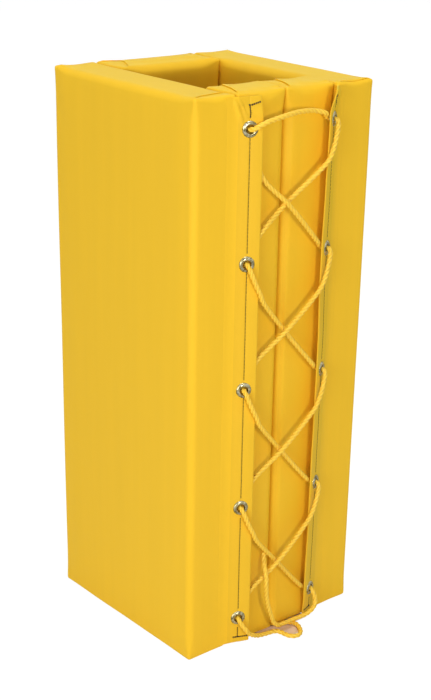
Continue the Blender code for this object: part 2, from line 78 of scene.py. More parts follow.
RIGHT_ARRIVAL_RISE = 0.0120
FIRST_BACK_DROP = 0.0780
CROSSING_OVER = 0.0220
CROSSING_UNDER = 0.0128
TOP_BAR_DIRECTION = (1.0, 0.35)
FOOT_DIRECTION = (0.35, -1.0)
LEFT, RIGHT = -1, 1
SIDE_NAMES = {LEFT: "left", RIGHT: "right"}
FLAP_LIFTS = {LEFT: LEFT_FLAP_LIFTS, RIGHT: RIGHT_FLAP_LIFTS}


# Materials
def new_material(name, colour, roughness, metallic=0.0, specular=0.5):
    made = bpy.data.materials.new(name)
    made.use_nodes = True
    shader = made.node_tree.nodes["Principled BSDF"]
    shader.inputs["Base Color"].default_value = (*colour, 1)
    shader.inputs["Roughness"].default_value = roughness
    shader.inputs["Metallic"].default_value = metallic
    shader.inputs["Specular IOR Level"].default_value = specular
    return made, made.node_tree, shader


def texture(tree, kind, source, scale, **inputs):
    node = tree.nodes.new(kind)
    tree.links.new(source, node.inputs["Vector"])
    node.inputs["Scale"].default_value = scale
    for name, value in inputs.items():
        node.inputs[name].default_value = value
    return node


def coordinates(tree, stretch=(1, 1, 1)):
    """Object coordinates, in metres, stretched."""
    place = tree.nodes.new("ShaderNodeTexCoord")
    mapping = tree.nodes.new("ShaderNodeMapping")
    mapping.inputs["Scale"].default_value = stretch
    tree.links.new(place.outputs["Object"], mapping.inputs["Vector"])
    return mapping.outputs["Vector"]


def ramp(tree, source, stops):
    node = tree.nodes.new("ShaderNodeValToRGB")
    elements = node.color_ramp.elements
    while len(elements) < len(stops):
        elements.new(0.5)
    for element, (place, colour) in zip(elements, stops):
        element.position = place
        element.color = (*colour, 1)
    tree.links.new(source, node.inputs["Fac"])
    return node.outputs["Color"]


def spread_value(tree, source, low, high):
    node = tree.nodes.new("ShaderNodeMapRange")
    node.inputs["To Min"].default_value = low
    node.inputs["To Max"].default_value = high
    tree.links.new(source, node.inputs["Value"])
    return node.outputs["Result"]


def math_node(tree, operation, first, second):
    node = tree.nodes.new("ShaderNodeMath")
    node.operation = operation
    tree.links.new(first, node.inputs[0])
    tree.links.new(second, node.inputs[1])
    return node.outputs[0]


def span_mask(tree, value, low, high, soft):
    """1 where the value lies between low and high, with soft sides."""
    sides = []
    for start, end in ((low - soft, low), (high + soft, high)):
        side = tree.nodes.new("ShaderNodeMapRange")
        side.interpolation_type = "SMOOTHSTEP"
        side.inputs["From Min"].default_value = start
        side.inputs["From Max"].default_value = end
        tree.links.new(value, side.inputs["Value"])
        sides.append(side.outputs["Result"])
    return math_node(tree, "MULTIPLY", *sides)


def bump_chain(tree, shader, layers):
    """Bumps on top of one another: (height output, strength, distance in metres) rows."""
    before = None
    for height, strength, distance in layers:
        node = tree.nodes.new("ShaderNodeBump")
        node.inputs["Strength"].default_value = strength
        node.inputs["Distance"].default_value = distance
        tree.links.new(height, node.inputs["Height"])
        if before:
            tree.links.new(before, node.inputs["Normal"])
        before = node.outputs["Normal"]
    tree.links.new(before, shader.inputs["Normal"])


def vinyl_material(name, colour, roughness=0.46):
    """Satin vinyl coated fabric: fine leather grain, a faint weave, and slow changes of tone and gloss."""
    made, tree, shader = new_material(name, colour, roughness, specular=0.12)
    shader.inputs["Sheen Weight"].default_value = 0.45
    shader.inputs["Sheen Roughness"].default_value = 0.45
    shader.inputs["Sheen Tint"].default_value = (1.0, 0.95, 0.04, 1)
    place = coordinates(tree)
    streaks = coordinates(tree, (1, 1, 0.05))
    tone = texture(tree, "ShaderNodeTexNoise", streaks, 55.0, Detail=3.0, Roughness=0.55)
    dark = tuple(c * 0.985 for c in colour)
    light = tuple(min(1.0, c * 1.01) for c in colour)
    tones = ramp(tree, tone.outputs["Fac"], [(0.30, dark), (0.70, light)])
    tree.links.new(tones, shader.inputs["Base Color"])
    gloss = texture(tree, "ShaderNodeTexNoise", place, 60.0, Detail=4.0, Roughness=0.6)
    uneven_gloss = spread_value(tree, gloss.outputs["Fac"], roughness - 0.05, roughness + 0.07)
    tree.links.new(uneven_gloss, shader.inputs["Roughness"])
    grain = texture(tree, "ShaderNodeTexVoronoi", place, 1500.0)
    weave = texture(tree, "ShaderNodeTexNoise", coordinates(tree, (1, 1, 0.35)), 900.0, Detail=2.0)
    drape = texture(tree, "ShaderNodeTexNoise", coordinates(tree, (1, 1, 0.08)), 30.0, Detail=1.0)
    layers = [
        (drape.outputs["Fac"], 0.12, 0.0006),
        (weave.outputs["Fac"], 0.10, 0.00008),
        (grain.outputs["Distance"], 0.12, 0.00012),
    ]
    bump_chain(tree, shader, layers)
    return made


def nickel_material():
    """Nickel plated brass: fine turned scratches and patchy gloss, with dark patches and a warm cast painted
    into its colour as painted reflection.
    """
    made, tree, shader = new_material("nickel_plate", (0.66, 0.65, 0.61), 0.24, metallic=1.0)
    place = coordinates(tree)
    painted_reflection_and_gloss = texture(tree, "ShaderNodeTexNoise", place, 260.0, Detail=5.0, Roughness=0.65)
    # painted reflection: random dark patches and a warm cast in the base colour stand in for the rings'
    # varied reflections
    stops = [(0.36, (0.17, 0.14, 0.055)), (0.50, (0.40, 0.36, 0.20)), (0.62, (0.56, 0.52, 0.37))]
    tree.links.new(ramp(tree, painted_reflection_and_gloss.outputs["Fac"], stops), shader.inputs["Base Color"])
    tree.links.new(spread_value(tree, painted_reflection_and_gloss.outputs["Fac"], 0.16, 0.36), shader.inputs["Roughness"])
    scratches = texture(tree, "ShaderNodeTexNoise", coordinates(tree, (1, 1, 9)), 700.0, Detail=3.0)
    bump_chain(tree, shader, [(scratches.outputs["Fac"], 0.15, 0.0001)])
    return made


def rope_material():
    """Yellow twisted cord: fine yarns that run along each strand, with painted shade darkening the grooves
    between the strands.
    """
    made, tree, shader = new_material("yellow_rope", (0.88, 0.56, 0.05), 0.48, specular=0.4)
    layer = tree.nodes.new("ShaderNodeUVMap")
    layer.uv_map = "lay"
    yarns = tree.nodes.new("ShaderNodeTexWave")
    yarns.bands_direction = "DIAGONAL"
    yarns.inputs["Scale"].default_value = 5.5
    yarns.inputs["Distortion"].default_value = 1.4
    yarns.inputs["Detail"].default_value = 2.0
    tree.links.new(layer.outputs["UV"], yarns.inputs["Vector"])
    depth = tree.nodes.new("ShaderNodeAttribute")
    depth.attribute_name = "groove"
    # painted shade: the colour darkens with each point's depth in the grooves between the strands
    tone = ramp(tree, depth.outputs["Fac"], [(0.0, (1.0, 0.66, 0.060)), (1.0, (0.93, 0.54, 0.035))])
    shade = tree.nodes.new("ShaderNodeMix")
    shade.data_type = "RGBA"
    shade.blend_type = "MULTIPLY"
    shade.inputs["Factor"].default_value = 0.35
    yarn_tone = ramp(tree, yarns.outputs["Fac"], [(0.0, (0.90, 0.85, 0.72)), (0.6, (1.0, 1.0, 1.0))])
    tree.links.new(tone, shade.inputs["A"])
    tree.links.new(yarn_tone, shade.inputs["B"])
    tree.links.new(shade.outputs["Result"], shader.inputs["Base Color"])
    bump_chain(tree, shader, [(yarns.outputs["Fac"], 0.5, 0.0002)])
    return made


def thread_material(name, low, high):
    """Twisted sewing thread, fuzzed between two tones."""
    made, tree, shader = new_material(name, low, 0.6, specular=0.3)
    fuzz = texture(tree, "ShaderNodeTexNoise", coordinates(tree, (1, 1, 0.3)), 2500.0, Detail=2.0)
    tree.links.new(ramp(tree, fuzz.outputs["Fac"], [(0.3, low), (0.7, high)]), shader.inputs["Base Color"])
    bump_chain(tree, shader, [(fuzz.outputs["Fac"], 0.5, 0.0001)])
    return made


YELLOW = (0.93, 0.550, 0.026)
vinyl = vinyl_material("satin_yellow_vinyl", YELLOW)
# the flaps' vinyl is a darker copy of the slab vinyl: painted shade that tones down the lifted flaps'
# brighter lighting
flap_vinyl_painted_darker = vinyl_material("flap_vinyl_painted_shade", (0.865, 0.510, 0.026))
web_vinyl = vinyl_material("hinge_yellow_vinyl", (0.84, 0.46, 0.012), 0.42)
nickel = nickel_material()
rope_yellow = rope_material()
thread = thread_material("dark_thread", (0.018, 0.008, 0.003), (0.060, 0.030, 0.010))
olive_thread = thread_material("olive_thread", (0.12, 0.085, 0.010), (0.24, 0.17, 0.020))


# Mesh helpers
def mesh_object(name, points, faces, material):
    mesh = bpy.data.meshes.new(name)
    mesh.from_pydata([tuple(p) for p in points], [], faces)
    mesh.validate()
    made = bpy.data.objects.new(name, mesh)
    scene.collection.objects.link(made)
    mesh.materials.append(material)
    mesh.shade_smooth()
    return made


def face_outward(obj):
    """Turns the faces of a closed piece outward."""
    bm = bmesh.new()
    bm.from_mesh(obj.data)
    bmesh.ops.recalc_face_normals(bm, faces=bm.faces)
    bm.to_mesh(obj.data)
    bm.free()
    obj.data.shade_smooth()


def tube_faces(rings, width, first=0):
    """Faces between neighbouring rings of points, each ring closed on itself."""
    faces = []
    for n in range(rings - 1):
        for m in range(width):
            a = first + n * width + m
            b = first + n * width + (m + 1) % width
            faces.append((a, b, b + width, a + width))
    return faces


def points_of(mesh):
    flat = np.empty(len(mesh.vertices) * 3)
    mesh.vertices.foreach_get("co", flat)
    return flat.reshape(-1, 3)


def set_points(mesh, points):
    mesh.vertices.foreach_set("co", np.asarray(points, dtype=np.float32).ravel())
    mesh.update()


def finished_mesh(obj):
    """Applies the object's modifiers to its mesh."""
    bpy.context.view_layer.update()
    made = bpy.data.meshes.new_from_object(obj.evaluated_get(bpy.context.evaluated_depsgraph_get()))
    obj.modifiers.clear()
    obj.data = made
    made.shade_smooth()


def subdivide(obj):
    modifier = obj.modifiers.new("smooth", "SUBSURF")
    modifier.levels = 1
    modifier.render_levels = 1
    finished_mesh(obj)


# Padded slabs
EDGE_STEPS = (0.0, 0.0009, 0.0020, 0.0034, 0.0052, 0.0074, 0.0100, 0.0130)
CORNER_RADIUS = 0.0045
CORNER_REACH = 0.0400
TOP_RADIUS = 0.0105
PASSAGE_RADIUS = 0.0150
JOINT_RADIUS = 0.0042
FOOT_RADIUS = 0.0050
INSET = 0.0004
SWELL = 0.0022
PRESSURE = 4.0
CLOTH_FRAMES = 20
EDGE_HOLD = 0.8
FLAT_FOOT = 0.0300
PROUD = 0.0024
UNEVEN_SIZE = 0.1100
UNEVEN_DEPTH = 0.0007
SEAM_DRAW = 0.0022
SEAM_DEPTH = 0.0450
SPLAY_DEPTH = 0.0500
FOOT_SPLAY = 0.0085
FOOT_SPLAY_END = 0.0550
TOP_SPLAY = 0.0040
TOP_SPLAY_START = 0.8680
SIDE_COVERED = 0.0700


def ease(values):
    """A smooth step from 0 to 1."""
    t = np.clip(values, 0, 1)
    return t * t * (3 - 2 * t)


def stations(low, high, spacing, steps):
    """Where a block's surface is sampled along one axis: close together at its rounded ends."""
    inner_low, inner_high = low + steps[-1], high - steps[-1]
    count = max(2, round((inner_high - inner_low) / spacing))
    inner = [inner_low + (inner_high - inner_low) * i / count for i in range(1, count)]
    return np.array([low + s for s in steps] + inner + [high - s for s in steps[::-1]])


def box_lattice(low, high, spacing, steps=EDGE_STEPS):
    """Points and faces of a block's six sides."""
    axes = [stations(low[a], high[a], spacing[a], steps) for a in range(3)]
    counts = [len(a) for a in axes]
    index = {}
    points = []

    def vertex(key):
        if key not in index:
            index[key] = len(points)
            points.append([axes[a][key[a]] for a in range(3)])
        return index[key]

    faces = []
    for a in range(3):
        b, c = (a + 1) % 3, (a + 2) % 3
        for end in (0, counts[a] - 1):
            for m in range(counts[b] - 1):
                for n in range(counts[c] - 1):
                    corners = []
                    for dm, dn in ((0, 0), (1, 0), (1, 1), (0, 1)):
                        key = [0, 0, 0]
                        key[a], key[b], key[c] = end, m + dm, n + dn
                        corners.append(vertex(tuple(key)))
                    faces.append(corners if end else corners[::-1])
    return np.array(points), faces


def filleted(points, low, high, radii):
    """The block's points moved onto edges rounded by each point's own radius."""
    radii = np.asarray(radii)[:, None] * np.ones(3)
    core = np.clip(points, low + radii, high - radii)
    away = points - core
    length = np.linalg.norm(away, axis=1)[:, None]
    return np.where(length > 1e-9, core + radii * away / np.maximum(length, 1e-9), points)


def top_radii(points, low, high):
    """Edge radii round a slab's top: wide over the passage's far walls and small along the joints."""
    x, y = points[:, 0], points[:, 1]
    across = low[1] > FRONT_Y + 0.001 or high[1] < BACK_Y - 0.001
    is_left, is_back = high[0] < -0.09, low[1] > 0.05
    outer = np.full(len(points), TOP_RADIUS)
    joint = np.full(len(points), JOINT_RADIUS)
    far_wall = np.full(len(points), PASSAGE_RADIUS)
    if across:
        sides = [joint, joint, far_wall if is_back else outer, joint * (1.2 if is_back else 1.5)]
    elif is_left:
        sides = [outer, joint * 1.5, outer, joint * 1.2]
    else:
        in_passage = ease((np.minimum(y - low[1], high[1] - y) - SIDE_COVERED) / 0.014)
        sides = [joint + (far_wall - joint) * in_passage, joint * 1.3, outer, joint * 1.2]
    gaps = np.stack([x - low[0], high[0] - x, y - low[1], high[1] - y], axis=1)
    weights = np.exp(-gaps / 0.005) + 1e-9
    return (weights * np.stack(sides, axis=1)).sum(axis=1) / weights.sum(axis=1)


def slab_radii(points, low, high, upright):
    """Each point's edge radius: full along the edges and small where three of them meet."""
    share = ease((points - low) / (high - low))
    (front_left, front_right), (back_left, back_right) = upright
    front = front_left + (front_right - front_left) * share[:, 0]
    back = back_left + (back_right - back_left) * share[:, 0]
    middle = front + (back - front) * share[:, 1]
    top = ease((points[:, 2] - high[2] + 0.030) / 0.020)
    foot = ease((low[2] + 0.022 - points[:, 2]) / 0.016)
    radius = middle + (top_radii(points, low, high) - middle) * top + (FOOT_RADIUS - middle) * foot
    return CORNER_RADIUS + (radius - CORNER_RADIUS) * slack(points, low, high)


def slack(points, low, high):
    """How freely the cover moves at each point: 0 where three edges meet, 1 away from there."""
    return ease(np.minimum(points - low, high - points).max(axis=1) / CORNER_REACH)


def inflate(obj, cap):
    """Swells the cover with a cloth simulation, each point by its own cap at most, on a flat foot."""
    rest = points_of(obj.data)
    cloth = obj.modifiers.new("cloth", "CLOTH")
    settings = cloth.settings
    settings.quality = 6
    settings.mass = 0.4
    settings.tension_stiffness = 40
    settings.compression_stiffness = 40
    settings.shear_stiffness = 20
    settings.bending_stiffness = 6
    settings.air_damping = 3
    settings.use_pressure = True
    settings.uniform_pressure_force = PRESSURE
    settings.effector_weights.gravity = 0
    cloth.collision_settings.use_self_collision = False
    cloth.collision_settings.use_collision = False
    cloth.point_cache.frame_start = 1
    cloth.point_cache.frame_end = CLOTH_FRAMES
    for number in range(1, CLOTH_FRAMES + 1):
        scene.frame_set(number)
    swollen = points_of(obj.evaluated_get(bpy.context.evaluated_depsgraph_get()).data)
    obj.modifiers.clear()
    scene.frame_set(1)
    move = swollen - rest
    length = np.linalg.norm(move, axis=1)
    move *= (cap * np.tanh(length / np.maximum(cap, 1e-9)) / np.maximum(length, 1e-9))[:, None]
    spread = (rest - rest.mean(axis=0)) / np.ptp(rest, axis=0) * 2
    outward = np.sign(spread) * np.clip(np.abs(spread), 0, 1) ** 12
    outward /= np.maximum(np.linalg.norm(outward, axis=1), 1e-9)[:, None]
    drawn_in = np.minimum((move * outward).sum(axis=1), 0)
    move -= EDGE_HOLD * drawn_in[:, None] * outward
    near_foot = rest[:, 2] < FLAT_FOOT
    move[:, 2] = np.where(near_foot, np.maximum(move[:, 2], 0) * rest[:, 2] / FLAT_FOOT, move[:, 2])
    set_points(obj.data, rest + move)


def uneven(points, seed):
    """A slow, seeded unevenness at each point."""
    offset = Vector((seed * 7.31, seed * 3.17, seed * 5.73))
    waves = [noise.noise(Vector((p[0], p[1], p[2] * 0.45)) / UNEVEN_SIZE + offset) for p in points]
    return np.array(waves) * UNEVEN_DEPTH


def slab(name, low, high, upright, free_low, free_high, spacing, seed):
    """A padded slab in its cover's space, swollen over its foam a little way out of its free sides."""
    low, high = np.array(low), np.array(high)
    lattice, faces = box_lattice(low, high, spacing)
    loose = slack(lattice, low, high)
    points = filleted(lattice, low, high, slab_radii(lattice, low, high, upright))
    middle, half = (low + high) / 2, (high - low) / 2
    t = (lattice - middle) / half
    pull = t * INSET * loose[:, None]
    if name.startswith("front"):
        pull[:, 0] = t[:, 0] * SEAM_DRAW * loose * ease(1 - (lattice[:, 1] - low[1]) / SEAM_DEPTH)
    pull[:, 2] = np.maximum(pull[:, 2], 0)
    points -= pull
    made = mesh_object(name, points, faces, vinyl)
    inflate(made, SWELL * loose)
    points = points_of(made.data)
    normals = np.array([v.normal[:] for v in made.data.vertices])
    points += normals * (uneven(points, seed) * (0.25 + 0.75 * loose))[:, None]
    bulge_low, bulge_high = low - np.array(free_low) * PROUD, high + np.array(free_high) * PROUD
    points = np.clip(points, bulge_low, bulge_high)
    if name.startswith("front"):
        near_front = ease(1 - (lattice[:, 1] - low[1]) / SPLAY_DEPTH)
        off_flap = ease((HINGE_X - 0.003 - np.abs(lattice[:, 0])) / 0.018)
        points[:, 1] -= FOOT_SPLAY * ease((FOOT_SPLAY_END - lattice[:, 2]) / 0.045) * near_front * off_flap
    if name == "front_left_pad":
        off_seam = ease((-0.004 - lattice[:, 0]) / 0.040)
        points[:, 1] -= TOP_SPLAY * ease((lattice[:, 2] - TOP_SPLAY_START) / 0.022) * near_front * off_seam
    set_points(made.data, points)
    return made


# each slab's upright edge radii (front, back, each left then right), free low and high sides, and sampling
SLABS = (
    ("left_pad", ((0.0110, 0.0055), (0.0050, 0.0055)), (1, 1, 0), (0, 1, 1), (0.0090, 0.0110, 0.0140)),
    ("right_pad", ((0.0055, 0.0050), (0.0055, 0.0090)), (0, 1, 0), (1, 1, 1), (0.0090, 0.0110, 0.0140)),
    ("back_pad", ((0.0055, 0.0055), (0.0055, 0.0055)), (0, 0, 0), (0, 1, 1), (0.0110, 0.0090, 0.0140)),
    ("front_left_pad", ((0.0050, 0.0070), (0.0060, 0.0060)), (0, 1, 0), (0, 0, 1), (0.0090, 0.0090, 0.0130)),
    ("front_right_pad", ((0.0120, 0.0050), (0.0060, 0.0060)), (0, 1, 0), (0, 0, 1), (0.0090, 0.0090, 0.0130)),
)
slabs = {}
for seed, (node, upright, free_low, free_high, spacing) in enumerate(SLABS, start=1):
    made = slab(node, *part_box(f"{node}_cover"), upright, free_low, free_high, spacing, seed)
    subdivide(made)
    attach(made, "root")
    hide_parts(f"{node}_cover", f"{node}_foam_core")
    slabs[node] = made


# The edge of a cover's top sheet, where it closes over the end of its slab
FOLD_DEPTHS = (0.0, 0.0003, 0.0009, 0.0020, 0.0036, 0.006, 0.010, 0.016, 0.024, 0.034, 0.045)
FOLD_RISE = 0.0016
FOLD_GAP = 0.0007
FOLD_SINK = 0.0007
FOLD_STEP = 0.0016
FOLD_END_ROWS = 5


def smooth_line(points, per_span, step):
    """A smooth line through the points, sampled at every step of its length, and that length."""
    dense = np.array([p[:] for p in smooth(points, per_span)])
    run = np.concatenate([[0], np.cumsum(np.linalg.norm(np.diff(dense, axis=0), axis=1))])
    count = max(2, round(run[-1] / step))
    places = np.linspace(0, run[-1], count + 1)
    return np.stack([np.interp(places, run, dense[:, a]) for a in range(3)], axis=1), run[-1]


def top_fold(name, carrier, line, inward, rise, reach):
    """The folded top sheet's edge: a ply that stands just off the slab there and fades out inward."""
    tree = BVHTree.FromObject(carrier, bpy.context.evaluated_depsgraph_get())
    rows, _ = smooth_line([Vector((*p, 0)) for p in line], 12, FOLD_STEP)
    last = FOLD_DEPTHS[-1]
    points = []
    for n, place in enumerate(rows):
        end_fade = min(1.0, n / FOLD_END_ROWS, (len(rows) - 1 - n) / FOLD_END_ROWS)
        wave = noise.noise(Vector((place[0] * 60, place[1] * 60, 3.0)))
        upper, lower = [], []
        for depth in FOLD_DEPTHS:
            x = place[0] + inward[0] * depth * reach
            y = place[1] + inward[1] * depth * reach
            hit = tree.ray_cast(Vector((x, y, 1.2)), Vector((0, 0, -1)))[0]
            z = hit.z if hit else 0.90
            fade = (1 - depth / last) ** 2
            lip = min(1.0, depth / 0.0009)
            height = rise * (0.75 + 0.25 * (1 - (1 - lip) ** 2)) * fade * (1 + 0.25 * wave) * end_fade
            upper.append((x, y, z + height - 0.0002 * (1 - fade) - 0.0002 * (1 - end_fade)))
            open_share = max(0.0, 1 - depth / 0.0036)
            lower.append((x, y, z - FOLD_SINK + (FOLD_GAP + FOLD_SINK) * open_share * end_fade))
        points += upper + lower[::-1]
    ring = 2 * len(FOLD_DEPTHS)
    faces = tube_faces(len(rows), ring)
    for first in (0, len(points) - ring):
        for m in range(len(FOLD_DEPTHS) - 1):
            faces.append((first + m, first + m + 1, first + ring - 2 - m, first + ring - 1 - m))
    made = mesh_object(name, points, faces, vinyl)
    face_outward(made)
    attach(made, "root")


# The rope's route, the same as in the part's source
def grommet_height(row):
    return HEIGHT - GROMMET_END_INSET - row * GROMMET_PITCH


def lift_stations(side):
    """Heights and lifts from the flap's foot up. It is level beside each grommet and twists in between."""
    foot, *laced, top = FLAP_LIFTS[side]
    stations = [(FLAP_END_MARGIN, foot)]
    for row, lift in zip(reversed(range(GROMMET_COUNT)), laced):
        z = grommet_height(row)
        stations += [(z - FLAP_LEVEL_REACH, lift), (z + FLAP_LEVEL_REACH, lift)]
    return stations + [(HEIGHT - FLAP_END_MARGIN, top)]


def flap_lift(side, z):
    """The angle between the flap and the front at that height, in radians."""
    stations = lift_stations(side)
    for (low, start), (high, end) in zip(stations, stations[1:]):
        if z <= high:
            break
    share = min(1.0, max(0.0, (z - low) / (high - low)))
    return radians(start + (end - start) * share)


def flap_directions(side, z):
    lift = flap_lift(side, z)
    along = Vector((-side * cos(lift), -sin(lift), 0))
    out = Vector((side * sin(lift), -cos(lift), 0))
    return along, out


def flap_point(side, along, out, z):
    run, face = flap_directions(side, z)
    return Vector((side * HINGE_X, FRONT_Y, 0)) + run * along + face * out + Vector((0, 0, z))


def quarter_turn(side, row, direction, face):
    along, up = direction
    length = hypot(along, up)
    z = grommet_height(row)
    points = []
    for angle in (radians(15), radians(42), radians(70)):
        reach = (TURN_CENTRE - TURN_RADIUS * cos(angle)) / length
        out = face * TURN_RADIUS * sin(angle)
        points.append(flap_point(side, GROMMET_INSET + reach * along, out, z + reach * up))
    return points


def through_grommet(side, row, arrive, leave):
    return quarter_turn(side, row, arrive, -1)[::-1] + quarter_turn(side, row, leave, 1)


def over_flap(side, row):
    z = grommet_height(row)
    return [
        flap_point(side, GROMMET_INSET + 0.0125, 0.0088, z - FREE_EDGE_DROP * 0.55),
        flap_point(side, FLAP_WIDTH + 0.0015, 0.0062, z - FREE_EDGE_DROP * 0.90),
        flap_point(side, FLAP_WIDTH + 0.0065, 0.0025, z - FREE_EDGE_DROP * 1.10),
    ]


def behind_flap(side, row, rise):
    z = grommet_height(row)
    return [
        flap_point(side, FLAP_WIDTH + 0.0040, -0.0062, z + rise + 0.0030),
        flap_point(side, GROMMET_INSET + 0.0120, -0.0084, z + rise * 0.55 + 0.0010),
    ]


def arrival(side):
    rise = LEFT_ARRIVAL_RISE if side == LEFT else RIGHT_ARRIVAL_RISE
    return rise, (FLAP_WIDTH - GROMMET_INSET, rise)


def strand(side, row):
    if row == 0 and side == LEFT:
        leaving = behind_flap(LEFT, row, -FIRST_BACK_DROP)[::-1]
    else:
        leaving = over_flap(side, row)
    return leaving, behind_flap(-side, row + 1, arrival(-side)[0])


def crossing(side, row, forward):
    (one_leaving, one_arriving), (other_leaving, other_arriving) = strand(side, row), strand(-side, row)
    one_start = one_leaving[-1]
    one_run = one_arriving[0] - one_start
    other_start = other_leaving[-1]
    other_run = other_arriving[0] - other_start
    between = other_start - one_start
    crossed = one_run.x * other_run.z - one_run.z * other_run.x
    share = (between.x * other_run.z - between.z * other_run.x) / crossed
    place = one_start + one_run * share
    return Vector((place.x, FRONT_Y - forward, place.z))


def bow_point(x, forward, z):
    return Vector((x, FRONT_Y - forward, z))


def lacing_run(side):
    route = []
    here = side
    for row in range(GROMMET_COUNT - 1):
        leaving, arriving = strand(here, row)
        on_top = (side == LEFT) if row == 0 else (here == RIGHT)
        middle = crossing(here, row, CROSSING_OVER if on_top else CROSSING_UNDER)
        here = -here
        leave = (FLAP_WIDTH - GROMMET_INSET, -FREE_EDGE_DROP)
        last = row == GROMMET_COUNT - 2
        through = through_grommet(here, row + 1, arrival(here)[1], FOOT_DIRECTION if last else leave)
        route += leaving + [middle] + arriving + through
    return route


def rope_route():
    floor = ROPE_RADIUS + FIT_GAP
    second = 3 * ROPE_RADIUS + 3 * FIT_GAP
    looped_end = [
        bow_point(-0.0745, 0.0232, 0.0300),
        bow_point(-0.0665, 0.0222, 0.0205),
        bow_point(-0.0560, 0.0205, 0.0130),
        bow_point(-0.0430, 0.0185, floor + 0.0025),
        bow_point(-0.0290, 0.0190, floor + 0.0003),
        bow_point(-0.0150, 0.0210, floor),
        bow_point(-0.0065, 0.0245, floor),
        bow_point(-0.0030, 0.0340, floor),
        bow_point(-0.0010, 0.0460, floor),
        bow_point(0.0050, 0.0540, floor),
        bow_point(0.0140, 0.0565, floor),
        bow_point(0.0230, 0.0520, floor),
        bow_point(0.0300, 0.0430, floor),
        bow_point(0.0345, 0.0320, floor),
        bow_point(0.0340, 0.0205, floor),
        bow_point(0.0240, 0.0125, floor),
        bow_point(0.0060, 0.0105, floor),
    ]
    tail_end = [
        bow_point(0.0820, 0.0235, 0.0350),
        bow_point(0.0765, 0.0265, 0.0230),
        bow_point(0.0640, 0.0262, 0.0155),
        bow_point(0.0480, 0.0245, second),
        bow_point(0.0300, 0.0232, second),
        bow_point(0.0110, 0.0230, second),
        bow_point(-0.0040, 0.0235, second + 0.0020),
        bow_point(-0.0150, 0.0245, 0.0250),
        bow_point(-0.0230, 0.0255, 0.0430),
        bow_point(-0.0310, 0.0265, 0.0650),
        bow_point(-0.0365, 0.0280, 0.0880),
        bow_point(-0.0385, 0.0290, 0.1060),
        bow_point(-0.0375, 0.0270, 0.1200),
        bow_point(-0.0340, 0.0190, 0.1330),
        bow_point(-0.0295, 0.0110, 0.1440),
        bow_point(-0.0250, 0.0060, 0.1560),
    ]
    top = grommet_height(0)
    top_bar = [
        flap_point(LEFT, GROMMET_INSET + 0.0130, 0.0084, top + 0.0060),
        flap_point(LEFT, FLAP_WIDTH + 0.0030, 0.0062, top + 0.0100),
        bow_point(-0.0300, 0.0225, top + 0.0155),
        bow_point(0.0060, 0.0190, top + 0.0185),
        bow_point(0.0400, 0.0160, top + 0.0165),
        flap_point(RIGHT, FLAP_WIDTH + 0.0020, -0.0062, top + 0.0110),
        flap_point(RIGHT, GROMMET_INSET + 0.0120, -0.0084, top + 0.0060),
    ]
    inset = FLAP_WIDTH - GROMMET_INSET
    across = through_grommet(LEFT, 0, (inset, -FIRST_BACK_DROP), TOP_BAR_DIRECTION) + top_bar
    across += through_grommet(RIGHT, 0, TOP_BAR_DIRECTION, (inset, -FREE_EDGE_DROP))
    return looped_end[::-1] + lacing_run(LEFT)[::-1] + across + lacing_run(RIGHT) + tail_end


def smooth(points, per_span):
    ends = [2 * points[0] - points[1]] + points + [2 * points[-1] - points[-2]]
    samples = []
    for before, start, end, after in zip(ends, ends[1:], ends[2:], ends[3:]):
        knots = [0.0]
        for a, b in ((before, start), (start, end), (end, after)):
            knots.append(knots[-1] + (b - a).length ** 0.5)
        for i in range(per_span):
            t = knots[1] + (knots[2] - knots[1]) * i / per_span
            samples.append(blend_knots((before, start, end, after), knots, t))
    return samples + [points[-1]]


def blend_knots(points, knots, t):
    level = points
    for width in (1, 2):
        pairs = zip(level, level[1:], knots, knots[width:])
        level = [start.lerp(end, (t - low) / (high - low)) for start, end, low, high in pairs]
    return level[0].lerp(level[1], (t - knots[1]) / (knots[2] - knots[1]))


# Twisted rope
STRAND_RADIUS = 0.00250
STRAND_OFFSET = 0.00150
GROOVE_RADIUS = 0.0029
LAY_LENGTH = 0.0270
RING_STEP = 0.0016
RING_POINTS = 24


def lobed_radius(angle):
    """The outline of three strands laid together."""
    third = 2 * pi / 3
    a = (angle + third / 2) % third - third / 2
    return STRAND_OFFSET * np.cos(a) + np.sqrt(STRAND_RADIUS**2 - (STRAND_OFFSET * np.sin(a)) ** 2)


